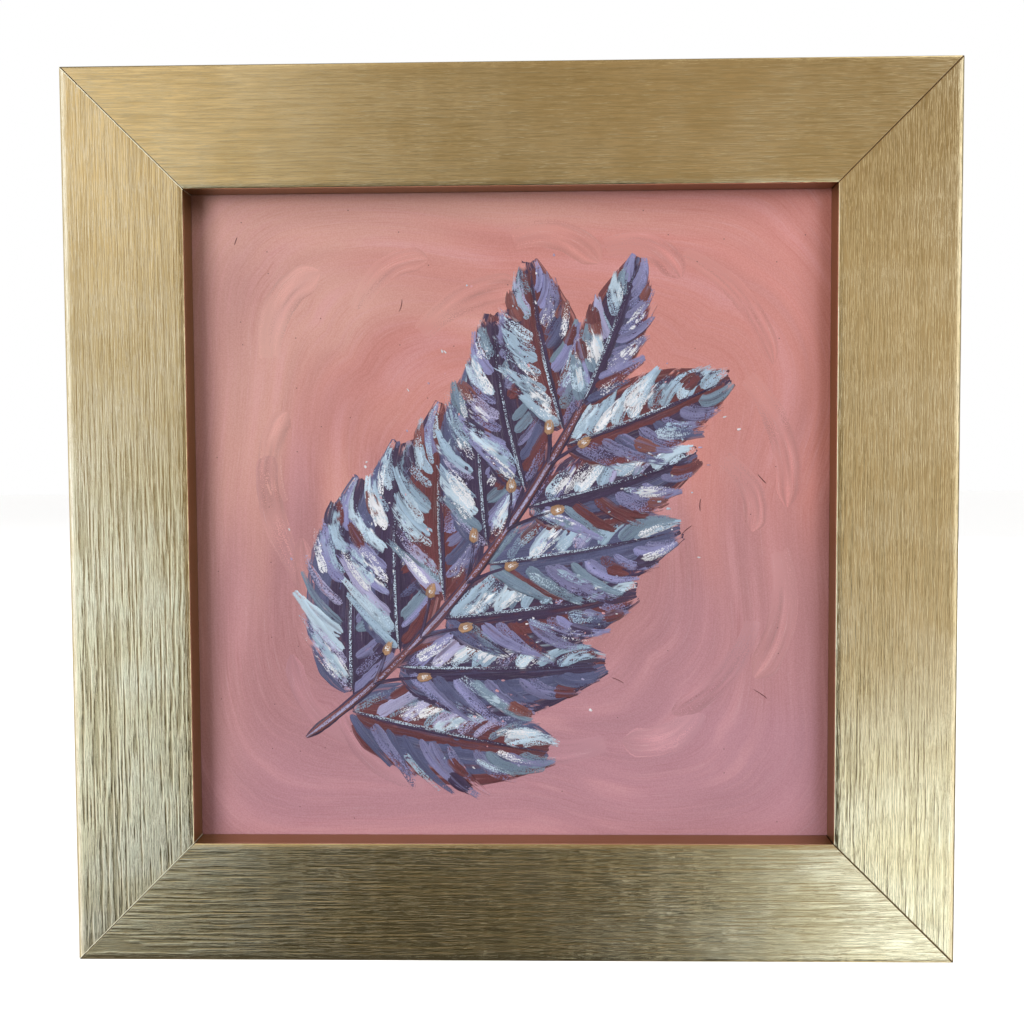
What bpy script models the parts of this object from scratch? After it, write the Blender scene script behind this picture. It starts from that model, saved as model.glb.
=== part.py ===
"""A small framed painting: a mitred wooden moulding around a painted hardboard panel.

The frame faces -Y, +Z is up, and +X is to the right as seen from the front. The origin is
the middle notch of the sawtooth hanger, where the nail in the wall carries the frame.
Lengths are in metres.
"""
import math

import bmesh
import bpy

MM = 0.001

# Moulding
FRAME_WIDTH = 195.4 * MM
FRAME_HEIGHT = 197.9 * MM
RAIL_FACE = 26.6 * MM       # width of the moulding's front face
RAIL_DEPTH = 19.0 * MM      # front face to back face
RABBET_WIDTH = 6.0 * MM     # how far the lip covers the panel's edge
LIP_DEPTH = 6.9 * MM        # front face to the ledge behind the lip
OUTER_ROUND = 1.2 * MM
SIGHT_ROUND = 0.5 * MM
BACK_ROUND = 0.4 * MM
ROUND_STEPS = 4
CLEARANCE = 0.3 * MM        # kept between pieces that touch on the real object
WELD_DISTANCE = 0.001 * MM
SHARP_ANGLE = 35.0          # degrees between faces that stay sharp

# Painted panel
PANEL_SIDE_PLAY = 0.9 * MM  # from the panel's edge to the rabbet's wall
PANEL_THICKNESS = 3.2 * MM
PANEL_EASING = 0.3 * MM

# Framer's points, the steel tabs that hold the panel against the lip
POINT_WIDTH = 5.6 * MM
POINT_THICKNESS = 0.5 * MM
POINT_DRIVEN = 6.0 * MM     # length driven into the rabbet's wall
POINT_SHOWING = 9.0 * MM    # length that lies over the panel's back
POINT_TIP = 2.4 * MM
POINT_FROM_MIDDLE = 38.0 * MM
POINT_END_STEPS = 8
SLOT_MOUTH = 1.0 * MM       # how far a slot's cutter stands out of the rabbet's wall

# Sawtooth hanger
TOOTH_PITCH = 2.5 * MM
TOOTH_DEPTH = 2.0 * MM
TOOTHED_COLUMNS = 12        # half pitches from the middle notch to the last tooth's end
HANGER_COLUMNS = 18         # half pitches from the middle to either end
HANGER_TOP = 7.0 * MM       # above the middle notch
HANGER_THICKNESS = 0.8 * MM
HANGER_BOW = 1.6 * MM       # how far the middle stands off behind the ends
HANGER_CORNER = 1.5 * MM

# Nails through the hanger
NAIL_COLUMN = 15            # half pitches from the middle
NAIL_SHANK = 0.6 * MM       # radius
NAIL_HEAD = 1.7 * MM        # radius
NAIL_HEAD_HEIGHT = 0.8 * MM
NAIL_HEAD_RIM = 0.3 * MM
NAIL_LENGTH = 9.0 * MM
NAIL_POINT = 2.0 * MM
NAIL_SIDES = 16

# Bumpers that keep the lower corners off the wall
BUMPER_RADIUS = 4.75 * MM
BUMPER_HEIGHT = 2.2 * MM
BUMPER_SKIRT = 0.6 * MM
BUMPER_FROM_MIDDLE = 78.0 * MM
BUMPER_SIDES = 32
BUMPER_STEPS = 6

# Worked out from the sizes above
SIGHT_WIDTH = FRAME_WIDTH - 2 * RAIL_FACE
SIGHT_HEIGHT = FRAME_HEIGHT - 2 * RAIL_FACE
HALF_PITCH = TOOTH_PITCH / 2
HANGER_MIDDLE = (HANGER_TOP - TOOTH_DEPTH) / 2
BACK_FACE = RAIL_FACE - RABBET_WIDTH
BACK_Y = -(HANGER_BOW + HANGER_THICKNESS / 2 + CLEARANCE)
FACE_Y = BACK_Y - RAIL_DEPTH
CENTRE_Z = HANGER_MIDDLE + BACK_FACE / 2 - FRAME_HEIGHT / 2
PANEL_FRONT = LIP_DEPTH + CLEARANCE
POINT_LEVEL = PANEL_FRONT + PANEL_THICKNESS + CLEARANCE + POINT_THICKNESS / 2
HANGER_BACK = BACK_Y + CLEARANCE + HANGER_THICKNESS

RAIL_TURNS = {"right_rail": 0.0, "top_rail": -90.0, "left_rail": 180.0, "bottom_rail": 90.0}


def clear_scene():
    """Remove every object of the opened scene."""
    for item in list(bpy.data.objects):
        bpy.data.objects.remove(item, do_unlink=True)


def new_collection(name):
    """Make a collection in the scene."""
    collection = bpy.data.collections.new(name)
    bpy.context.scene.collection.children.link(collection)
    return collection


def make_finish(name, colour, roughness, metallic=0.0):
    """Make a Principled material of one colour."""
    material = bpy.data.materials.new(name)
    material.use_nodes = True
    shader = material.node_tree.nodes["Principled BSDF"]
    shader.inputs["Base Color"].default_value = (*colour, 1.0)
    shader.inputs["Roughness"].default_value = roughness
    shader.inputs["Metallic"].default_value = metallic
    return material


def place(item, parent, location=(0.0, 0.0, 0.0), turn=(0.0, 0.0, 0.0)):
    """Parent an object and set its place, with its turn in degrees."""
    item.parent = parent
    item.location = location
    item.rotation_euler = [math.radians(angle) for angle in turn]


def add_object(name, data, material, collection=None):
    """Add an object with its finish to a collection, the model's own by default."""
    item = bpy.data.objects.new(name, data)
    if material:
        data.materials.append(material)
    (collection or MODEL).objects.link(item)
    return item


def arc(centre, radius, start, end, steps):
    """Points along an arc, with its angles in degrees."""
    angles = [math.radians(start + (end - start) * i / steps) for i in range(steps + 1)]
    return [(centre[0] + radius * math.cos(a), centre[1] + radius * math.sin(a)) for a in angles]


def flat_curve(name, outline, half_thickness):
    """A closed 2D outline, filled on both sides and extruded."""
    curve = bpy.data.curves.new(name, "CURVE")
    curve.dimensions = "2D"
    curve.fill_mode = "BOTH"
    curve.extrude = half_thickness
    spline = curve.splines.new("POLY")
    spline.points.add(len(outline) - 1)
    for point, (x, y) in zip(spline.points, outline):
        point.co = (x, y, 0.0, 1.0)
    spline.use_cyclic_u = True
    return curve


def box_mesh(name, size):
    """A box about its own middle."""
    mesh = bpy.data.meshes.new(name)
    shape = bmesh.new()
    bmesh.ops.create_cube(shape, size=1.0)
    bmesh.ops.scale(shape, vec=size, verts=shape.verts)
    shape.to_mesh(mesh)
    shape.free()
    return mesh


def add_drill(name, radius, depth, location):
    """A cylinder along Y that drills a hole, with its middle at the location."""
    mesh = bpy.data.meshes.new(name)
    shape = bmesh.new()
    bmesh.ops.create_cone(
        shape, cap_ends=True, segments=NAIL_SIDES, radius1=radius, radius2=radius, depth=depth
    )
    shape.to_mesh(mesh)
    shape.free()
    cutter = add_cutter(name, mesh)
    place(cutter, None, location, (90.0, 0.0, 0.0))
    return cutter


def add_cutter(name, mesh):
    """Add a mesh to the cutters, shown as wire and left out of renders."""
    cutter = add_object(name, mesh, None, CUTTERS)
    cutter.hide_render = True
    cutter.display_type = "WIRE"
    return cutter


def cut(piece, cutter):
    """Take a cutter's shape out of a piece."""
    modifier = piece.modifiers.new(cutter.name, "BOOLEAN")
    modifier.operation = "DIFFERENCE"
    modifier.object = cutter


def turned(name, profile, sides, material):
    """A turned piece: a profile at +X, given from top to bottom, swept round Z."""
    mesh = bpy.data.meshes.new(name)
    edges = [(i, i + 1) for i in range(len(profile) - 1)]
    mesh.from_pydata([(x, 0.0, z) for x, z in profile], edges, [])
    piece = add_object(name, mesh, material)
    screw = piece.modifiers.new("Turn", "SCREW")
    screw.steps = sides
    screw.render_steps = sides
    screw.use_merge_vertices = True
    screw.merge_threshold = WELD_DISTANCE
    return piece


def moulding_section():
    """The moulding's section: x runs outwards from the sight edge, y back from the face."""
    sight = arc((SIGHT_ROUND, SIGHT_ROUND), SIGHT_ROUND, 180, 270, ROUND_STEPS)
    outer = arc((RAIL_FACE - OUTER_ROUND, OUTER_ROUND), OUTER_ROUND, 270, 360, ROUND_STEPS)
    back_corner = (RAIL_FACE - BACK_ROUND, RAIL_DEPTH - BACK_ROUND)
    back = arc(back_corner, BACK_ROUND, 0, 90, 2)
    rabbet = [(RABBET_WIDTH, RAIL_DEPTH), (RABBET_WIDTH, LIP_DEPTH), (0.0, LIP_DEPTH)]
    return sight + outer + back + rabbet


def mitred_stick(name, half_opening):
    """A length of moulding along Z whose mitred ends grow with the distance from the sight edge."""
    curve = flat_curve(name, moulding_section(), half_opening)
    blank = bpy.data.objects.new(name + "_blank", curve)
    MODEL.objects.link(blank)
    graph = bpy.context.evaluated_depsgraph_get()
    mesh = bpy.data.meshes.new_from_object(blank.evaluated_get(graph))
    mesh.name = name
    bpy.data.objects.remove(blank)
    setback = CLEARANCE / 2 * math.sqrt(2)
    shape = bmesh.new()
    shape.from_mesh(mesh)
    bmesh.ops.remove_doubles(shape, verts=shape.verts, dist=WELD_DISTANCE)
    for vert in shape.verts:
        vert.co.z = math.copysign(half_opening + vert.co.x - setback, vert.co.z)
    shape.to_mesh(mesh)
    shape.free()
    return mesh


def add_rail(name, turn, centre):
    """One side of the frame, with its sight edge on the opening's edge."""
    upright = turn in (0.0, 180.0)
    along = (SIGHT_HEIGHT if upright else SIGHT_WIDTH) / 2
    across = (SIGHT_WIDTH if upright else SIGHT_HEIGHT) / 2
    rail = add_object(name, mitred_stick(name, along), FOIL)
    outwards = (across * math.cos(math.radians(turn)), 0.0, -across * math.sin(math.radians(turn)))
    place(rail, centre, outwards, (0.0, turn, 0.0))
    return rail


def point_outline():
    """A framer's point: a strip with a driven tip at +X and a round end over the panel."""
    half = POINT_WIDTH / 2
    shoulder = POINT_DRIVEN - POINT_TIP
    round_end = arc((half - POINT_SHOWING, 0.0), half, 90, 270, POINT_END_STEPS)
    return round_end + [(shoulder, -half), (POINT_DRIVEN, 0.0), (shoulder, half)]


def add_points(rail):
    """Two framer's points in their slots in one rail."""
    slot_length = SLOT_MOUTH + POINT_DRIVEN + CLEARANCE
    slot_middle = RABBET_WIDTH - SLOT_MOUTH + slot_length / 2
    slot_size = (slot_length, POINT_THICKNESS + 2 * CLEARANCE, POINT_WIDTH + 2 * CLEARANCE)
    side = rail.name.split("_")[0]
    for number, offset in ((1, -POINT_FROM_MIDDLE), (2, POINT_FROM_MIDDLE)):
        name = f"framers_point_{side}_{number}"
        point = add_object(name, flat_curve(name, point_outline(), POINT_THICKNESS / 2), STEEL)
        place(point, rail, (RABBET_WIDTH, POINT_LEVEL, offset), (90.0, 0.0, 0.0))
        slot = add_cutter(name + "_slot", box_mesh(name + "_slot", slot_size))
        place(slot, rail, (slot_middle, POINT_LEVEL, offset))
        cut(rail, slot)


def add_panel(centre):
    """The painted hardboard panel, which lies against the back of the lip."""
    play = RABBET_WIDTH - PANEL_SIDE_PLAY
    size = (SIGHT_WIDTH + 2 * play, PANEL_THICKNESS, SIGHT_HEIGHT + 2 * play)
    panel = add_object("painted_panel", box_mesh("painted_panel", size), PAINT)
    place(panel, centre, (0.0, PANEL_FRONT + PANEL_THICKNESS / 2, 0.0))
    easing = panel.modifiers.new("Eased edges", "BEVEL")
    easing.width = PANEL_EASING
    easing.segments = 2


def hanger_bow(column):
    """How far the strip stands off at a column: none at the nailed ends, most in the middle."""
    if abs(column) >= TOOTHED_COLUMNS:
        return 0.0
    return HANGER_BOW * math.cos(math.pi / 2 * column / TOOTHED_COLUMNS) ** 2


def hanger_edges(column):
    """The strip's lower and upper edge at a column."""
    if abs(column) == HANGER_COLUMNS:
        return HANGER_CORNER - TOOTH_DEPTH, HANGER_TOP - HANGER_CORNER
    notched = abs(column) < TOOTHED_COLUMNS and column % 2 == 0
    return (0.0 if notched else -TOOTH_DEPTH), HANGER_TOP


def add_hanger():
    """The sawtooth strip: one column of quads for each half pitch, given its thickness."""
    mesh = bpy.data.meshes.new("sawtooth_hanger")
    shape = bmesh.new()
    bmesh.ops.create_grid(shape, x_segments=2 * HANGER_COLUMNS, y_segments=1, size=1.0)
    for vert in shape.verts:
        column = round(vert.co.x * HANGER_COLUMNS)
        lower, upper = hanger_edges(column)
        height = upper if vert.co.y > 0 else lower
        vert.co = (column * HALF_PITCH, hanger_bow(column) - HANGER_BOW, height)
    shape.to_mesh(mesh)
    shape.free()
    hanger = add_object("sawtooth_hanger", mesh, ZINC)
    wall = hanger.modifiers.new("Thickness", "SOLIDIFY")
    wall.thickness = HANGER_THICKNESS
    wall.offset = 0.0
    wall.use_even_offset = True
    return hanger


def nail_profile():
    """Half of a round-headed nail, from the top of its head to its point."""
    crown = [
        (NAIL_HEAD * math.sin(a), NAIL_HEAD_RIM + (NAIL_HEAD_HEIGHT - NAIL_HEAD_RIM) * math.cos(a))
        for a in (0.0, math.pi / 6, math.pi / 3, math.pi / 2)
    ]
    shank_end = NAIL_POINT - NAIL_LENGTH
    return crown + [(NAIL_HEAD, 0.0), (NAIL_SHANK, 0.0), (NAIL_SHANK, shank_end), (0.0, -NAIL_LENGTH)]


def add_nails(hanger, rail):
    """Two nails that hold the hanger's ends to the back of the top rail."""
    hole = NAIL_SHANK + CLEARANCE
    for side, column in (("left", -NAIL_COLUMN), ("right", NAIL_COLUMN)):
        x = column * HALF_PITCH
        nail = turned(f"hanger_nail_{side}", nail_profile(), NAIL_SIDES, STEEL)
        place(nail, None, (x, HANGER_BACK + CLEARANCE, HANGER_MIDDLE), (-90.0, 0.0, 0.0))
        drill = add_drill(f"nail_hole_{side}", hole, 2 * NAIL_LENGTH, (x, HANGER_BACK, HANGER_MIDDLE))
        cut(hanger, drill)
        cut(rail, drill)


def bumper_profile():
    """Half of a domed bumper, from its crown to the middle of its flat base."""
    dome = [
        (BUMPER_RADIUS * math.sin(a), BUMPER_SKIRT + (BUMPER_HEIGHT - BUMPER_SKIRT) * math.cos(a))
        for a in (math.pi / 2 * i / BUMPER_STEPS for i in range(BUMPER_STEPS + 1))
    ]
    return dome + [(BUMPER_RADIUS, 0.0), (0.0, 0.0)]


def add_bumpers():
    """A round bumper near each lower corner of the back."""
    height = CENTRE_Z - FRAME_HEIGHT / 2 + BACK_FACE / 2
    for side, x in (("left", -BUMPER_FROM_MIDDLE), ("right", BUMPER_FROM_MIDDLE)):
        bumper = turned(f"wall_bumper_{side}", bumper_profile(), BUMPER_SIDES, RUBBER)
        place(bumper, None, (x, BACK_Y + CLEARANCE, height), (-90.0, 0.0, 0.0))


def smooth_round_pieces():
    """Shade the turned and rounded pieces smooth, with sharp corners kept."""
    for piece in MODEL.objects:
        if piece.type == "MESH":
            piece.data.shade_smooth()
            piece.data.set_sharp_from_angle(angle=math.radians(SHARP_ANGLE))


clear_scene()
MODEL = new_collection("framed_painting")
CUTTERS = new_collection("cutters")
FOIL = make_finish("champagne_foil", (0.52, 0.42, 0.24), 0.38, 0.9)
PAINT = make_finish("oil_paint", (0.60, 0.29, 0.26), 0.5)
STEEL = make_finish("bright_steel", (0.55, 0.55, 0.56), 0.35, 1.0)
ZINC = make_finish("zinc_plate", (0.62, 0.62, 0.60), 0.4, 1.0)
RUBBER = make_finish("clear_rubber", (0.72, 0.72, 0.70), 0.45)

frame_centre = bpy.data.objects.new("frame_centre", None)
MODEL.objects.link(frame_centre)
frame_centre.location = (0.0, FACE_Y, CENTRE_Z)

rails = {name: add_rail(name, turn, frame_centre) for name, turn in RAIL_TURNS.items()}
for frame_rail in rails.values():
    add_points(frame_rail)
add_panel(frame_centre)
sawtooth = add_hanger()
add_nails(sawtooth, rails["top_rail"])
add_bumpers()
smooth_round_pieces()
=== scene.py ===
# %% [markdown]
# # A small framed painting
#
# The object is a wooden moulding with a brushed champagne-gold foil, mitred round a painted
# hardboard panel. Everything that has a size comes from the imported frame. This script gives
# the pieces their surfaces: embossed grain on the foil, raw wood behind it, brush marks in
# the paint and pressed steel on the back.

# %% Load the frame
import math

import bmesh
import bpy
import numpy as np
from mathutils import Matrix, Vector


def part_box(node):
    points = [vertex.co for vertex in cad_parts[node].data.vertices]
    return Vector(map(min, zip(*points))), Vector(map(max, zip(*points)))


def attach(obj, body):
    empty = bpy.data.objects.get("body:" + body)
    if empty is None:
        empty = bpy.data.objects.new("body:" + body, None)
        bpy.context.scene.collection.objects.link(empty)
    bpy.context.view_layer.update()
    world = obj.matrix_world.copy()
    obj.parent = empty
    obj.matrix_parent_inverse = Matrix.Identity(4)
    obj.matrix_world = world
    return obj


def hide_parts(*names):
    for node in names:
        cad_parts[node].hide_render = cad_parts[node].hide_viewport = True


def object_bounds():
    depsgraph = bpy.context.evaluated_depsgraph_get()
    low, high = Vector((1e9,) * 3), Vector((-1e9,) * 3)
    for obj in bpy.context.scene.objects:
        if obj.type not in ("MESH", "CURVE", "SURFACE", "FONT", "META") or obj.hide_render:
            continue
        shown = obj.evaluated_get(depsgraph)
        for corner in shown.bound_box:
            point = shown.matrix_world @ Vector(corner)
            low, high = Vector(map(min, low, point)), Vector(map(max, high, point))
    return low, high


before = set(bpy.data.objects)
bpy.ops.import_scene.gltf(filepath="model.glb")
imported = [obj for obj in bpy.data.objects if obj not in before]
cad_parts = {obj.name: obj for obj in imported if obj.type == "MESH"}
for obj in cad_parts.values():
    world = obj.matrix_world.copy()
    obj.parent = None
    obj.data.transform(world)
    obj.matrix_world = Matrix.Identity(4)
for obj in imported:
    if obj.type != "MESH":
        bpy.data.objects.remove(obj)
cad_low, cad_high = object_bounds()
MM = 0.001
print("frame nodes:", len(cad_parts))

# %% [markdown]
# ## Measures taken from the frame
#
# The rails give the outer size, the face width and the depth. The panel gives the level of
# the painted surface. Measuring them here, and not writing them again, keeps the looks on
# the solids when a size changes.

# %% Read the sizes
top_low, top_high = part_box("top_rail")
bottom_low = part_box("bottom_rail")[0]
left_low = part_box("left_rail")[0]
right_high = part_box("right_rail")[1]
panel_low, panel_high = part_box("painted_panel")

FACE_Y, BACK_Y = top_low.y, top_high.y
RAIL_FACE = top_high.z - top_low.z
RAIL_DEPTH = BACK_Y - FACE_Y
CENTRE_Z = (top_high.z + bottom_low.z) / 2
FACE_MIDDLE = (0.0, FACE_Y, CENTRE_Z)
SIGHT_HALF_WIDTH = (right_high.x - left_low.x) / 2 - RAIL_FACE
SIGHT_HALF_HEIGHT = (top_high.z - bottom_low.z) / 2 - RAIL_FACE
CLEARANCE = 0.3 * MM
LIP_DEPTH = panel_low.y - FACE_Y - CLEARANCE
print("opening:", round(2000 * SIGHT_HALF_WIDTH, 1), "x", round(2000 * SIGHT_HALF_HEIGHT, 1), "mm")

# %% [markdown]
# ## Surfaces from arrays
#
# A surface here is a grid of points worked out as whole arrays. A few helpers are enough:
# the quads of a grid or of a tube, a mesh from points and faces, the joining of parts, and
# attributes and maps that carry a number, a colour or a place into the material.

# %% Mesh helpers


def grid_faces(rows, columns, start=0):
    """Quads between the neighbouring points of a grid that is numbered row by row."""
    i, j = np.meshgrid(np.arange(rows - 1), np.arange(columns - 1), indexing="ij")
    corner = (start + i * columns + j).ravel()
    return np.stack([corner, corner + 1, corner + columns + 1, corner + columns], 1)


def tube_faces(rings, around):
    """Quads of a tube whose rings are closed loops, with one face over either end."""
    i, j = np.meshgrid(np.arange(rings - 1), np.arange(around), indexing="ij")
    after = (j + 1) % around
    quads = np.stack([i * around + j, i * around + after, (i + 1) * around + after, (i + 1) * around + j], -1)
    last = (rings - 1) * around
    return quads.reshape(-1, 4).tolist() + [list(range(around)), list(range(last, last + around))]


def add_mesh(name, points, faces, material, sharp=40.0, closed=True):
    """A mesh object at the origin, shaded smooth but for edges over the sharp angle.

    A closed mesh has its faces turned outwards.
    """
    mesh = bpy.data.meshes.new(name)
    mesh.from_pydata(points.tolist(), [], faces)
    if closed:
        shell = bmesh.new()
        shell.from_mesh(mesh)
        bmesh.ops.recalc_face_normals(shell, faces=shell.faces)
        shell.to_mesh(mesh)
        shell.free()
    mesh.materials.append(material)
    mesh.shade_smooth()
    mesh.set_sharp_from_angle(angle=math.radians(sharp))
    piece = bpy.data.objects.new(name, mesh)
    bpy.context.scene.collection.objects.link(piece)
    return piece


def give_value(piece, name, values):
    """A number, a vector or a linear colour for each point of the piece."""
    values = values.reshape(len(piece.data.vertices), -1)
    if name in ("pigment", "under"):
        values = np.concatenate([np.clip(values, 0, 1), np.ones((len(values), 1))], 1)
    kind, field = {1: ("FLOAT", "value"), 3: ("FLOAT_VECTOR", "vector"), 4: ("FLOAT_COLOR", "color")}[
        values.shape[1]
    ]
    layer = piece.data.attributes.new(name, kind, "POINT")
    layer.data.foreach_set(field, values.astype(np.float32).ravel())


def give_map(piece, name, places):
    """A UV map that reads a place in metres for each point of the piece."""
    corners = np.zeros(len(piece.data.loops), np.int32)
    piece.data.loops.foreach_get("vertex_index", corners)
    layer = piece.data.uv_layers.new(name=name)
    layer.uv.foreach_set("vector", places[corners].astype(np.float32).ravel())


def join_parts(parts):
    """Points and faces of several parts, with each part's faces counted on from the last."""
    points, faces, start = [], [], 0
    for part_points, part_faces in parts:
        points.append(part_points)
        faces += [[start + corner for corner in face] for face in part_faces]
        start += len(part_points)
    return np.concatenate(points), faces


# %% [markdown]
# ## Noise and smooth steps
#
# Grain and brush marks are uneven, so they start from value noise: random numbers on a unit
# lattice, joined by smooth weights. Stretching its input makes streaks, and a fixed seed
# gives the same surface on each run.

# %% Noise helpers
NOISE_SIDE = 256


def smooth_step(low, high, x):
    """0 below low, 1 above high, and 3t2 - 2t3 between."""
    t = np.clip((x - low) / (high - low), 0, 1)
    return t * t * (3 - 2 * t)


def noise(x, y, seed):
    """Value noise from -1 to 1: the lattice's four corner values, weighted by smooth steps."""
    table = np.random.default_rng(seed).uniform(-1, 1, (NOISE_SIDE, NOISE_SIDE))
    i, j = np.floor(x).astype(int), np.floor(y).astype(int)
    fx, fy = smooth_step(0, 1, x - i), smooth_step(0, 1, y - j)

    def corner(di, dj):
        return table[(i + di) % NOISE_SIDE, (j + dj) % NOISE_SIDE]

    near = corner(0, 0) * (1 - fx) + corner(1, 0) * fx
    far = corner(0, 1) * (1 - fx) + corner(1, 1) * fx
    return near * (1 - fy) + far * fy


# %% [markdown]
# ## Shader maths in plain Python
#
# A material is easier to read as sums than as wires. `Number` wraps a socket, so that an
# expression adds its Math nodes. `Finish` holds a material and adds any other node, with
# its settings first and its inputs after.

# %% Shader helpers


class Number:
    """A number socket that takes part in Python sums."""

    def __init__(self, finish, socket):
        self.finish, self.socket = finish, socket

    def maths(self, operation, *values):
        """A Math node whose sockets take the values in turn."""
        return self.finish.node("ShaderNodeMath", {"operation": operation}, dict(enumerate(values)))

    def __add__(self, other):
        return self.maths("ADD", self, other)

    def __sub__(self, other):
        return self.maths("SUBTRACT", self, other)

    def __rsub__(self, other):
        return self.maths("SUBTRACT", other, self)

    def __mul__(self, other):
        return self.maths("MULTIPLY", self, other)

    __radd__, __rmul__ = __add__, __mul__


class Finish:
    """A material or a world being written: its nodes and its one shader."""

    def __init__(self, owner, shader="Principled BSDF"):
        owner.use_nodes = True
        self.owner = owner
        self.nodes, self.links = owner.node_tree.nodes, owner.node_tree.links
        self.shader = self.nodes[shader]

    def put(self, socket, value):
        """Link a socket, or set its value where the value is plain."""
        if isinstance(value, Number):
            self.links.new(value.socket, socket)
        else:
            socket.default_value = value

    def node(self, kind, settings=None, inputs=None, output=0):
        """Add a node with its settings, then its inputs by name or number."""
        made = self.nodes.new(kind)
        for key, value in (settings or {}).items():
            setattr(made, key, value)
        for key, value in (inputs or {}).items():
            self.put(made.inputs[key], value)
        return Number(self, made.outputs[output])

    def sets(self, **values):
        """Set the shader's sockets: base_color stands for Base Color."""
        for key, value in values.items():
            self.put(self.shader.inputs[key.replace("_", " ").title()], value)

    def attribute(self, name, output="Fac"):
        """What the mesh stores under a name, as a number, a colour or a vector."""
        return self.node("ShaderNodeAttribute", {"attribute_name": name}, output=output)

    def run(self, name):
        """The piece's own map, in metres."""
        return self.node("ShaderNodeUVMap", {"uv_map": name})

    def place(self):
        """Object coordinates, in metres."""
        return self.node("ShaderNodeTexCoord", output="Object")

    def stretched(self, vector, sizes):
        """A vector divided by the size of one noise cell along each axis."""
        scales = tuple(1.0 / size for size in sizes)
        return self.node("ShaderNodeVectorMath", {"operation": "MULTIPLY"}, {0: vector, 1: scales})

    def noise(self, vector, sizes, detail=2.0, roughness=0.5, distortion=0.0):
        """Noise about 0.5 whose cells have the given sizes."""
        inputs = {"Vector": self.stretched(vector, sizes), "Scale": 1.0, "Detail": detail}
        inputs.update(Roughness=roughness, Distortion=distortion)
        return self.node("ShaderNodeTexNoise", None, inputs, "Fac")

    def step(self, value, low, high, start=0.0, end=1.0):
        """A smooth step from start to end as the value goes from low to high."""
        inputs = {"Value": value, "From Min": low, "From Max": high, "To Min": start, "To Max": end}
        return self.node("ShaderNodeMapRange", {"interpolation_type": "SMOOTHSTEP"}, inputs)

    def mix(self, first, second, factor, blend="MIX"):
        """A colour between two, by a factor from 0 to 1, or another blend of them."""
        settings = {"data_type": "RGBA", "blend_type": blend}
        return self.node("ShaderNodeMix", settings, {"Factor": factor, 6: first, 7: second}, 2)

    def bump(self, height, depth, under=None):
        """A normal tilted by a height from 0 to 1 that stands for the given depth."""
        inputs = {"Height": height, "Distance": depth, "Strength": 1.0}
        if under:
            inputs["Normal"] = under
        return self.node("ShaderNodeBump", None, inputs)


def linear(red, green, blue):
    """A colour seen as sRGB numbers from 0 to 255, as linear numbers."""
    seen = np.array([red, green, blue]) / 255
    return tuple(np.where(seen < 0.04045, seen / 12.92, ((seen + 0.055) / 1.055) ** 2.4).tolist())


def opaque(red, green, blue):
    """The same colour with full alpha, as a colour socket takes it."""
    return (*linear(red, green, blue), 1.0)


def new_finish(name):
    """A new material, ready to be written."""
    return Finish(bpy.data.materials.new(name))


# %% [markdown]
# ## The foil's finish
#
# The moulding is bought as a stick of wood wrapped in a thin metallic foil. Rollers emboss
# the foil with short streaks that run along the stick, like brushed wood. The streaks are
# real relief in the mesh, which stores how deep each point lies as `grain`. The material
# paints shade into the deep places, adds scratches finer than the mesh, and turns to raw
# wood where `bare` says that the foil has ended. Along the moulding both follow the map
# `run`. `dirt_and_painted_light` is 1 in a dirty seam and 0.6 on the dull wall of the lip,
# which is painted brown: a painted reflection of the shaded pink paint that it faces. Below 0
# it paints a highlight instead, a pale line that is bright but isn't metal, where an eased
# edge catches the light.

# %% Foil on wood


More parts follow.
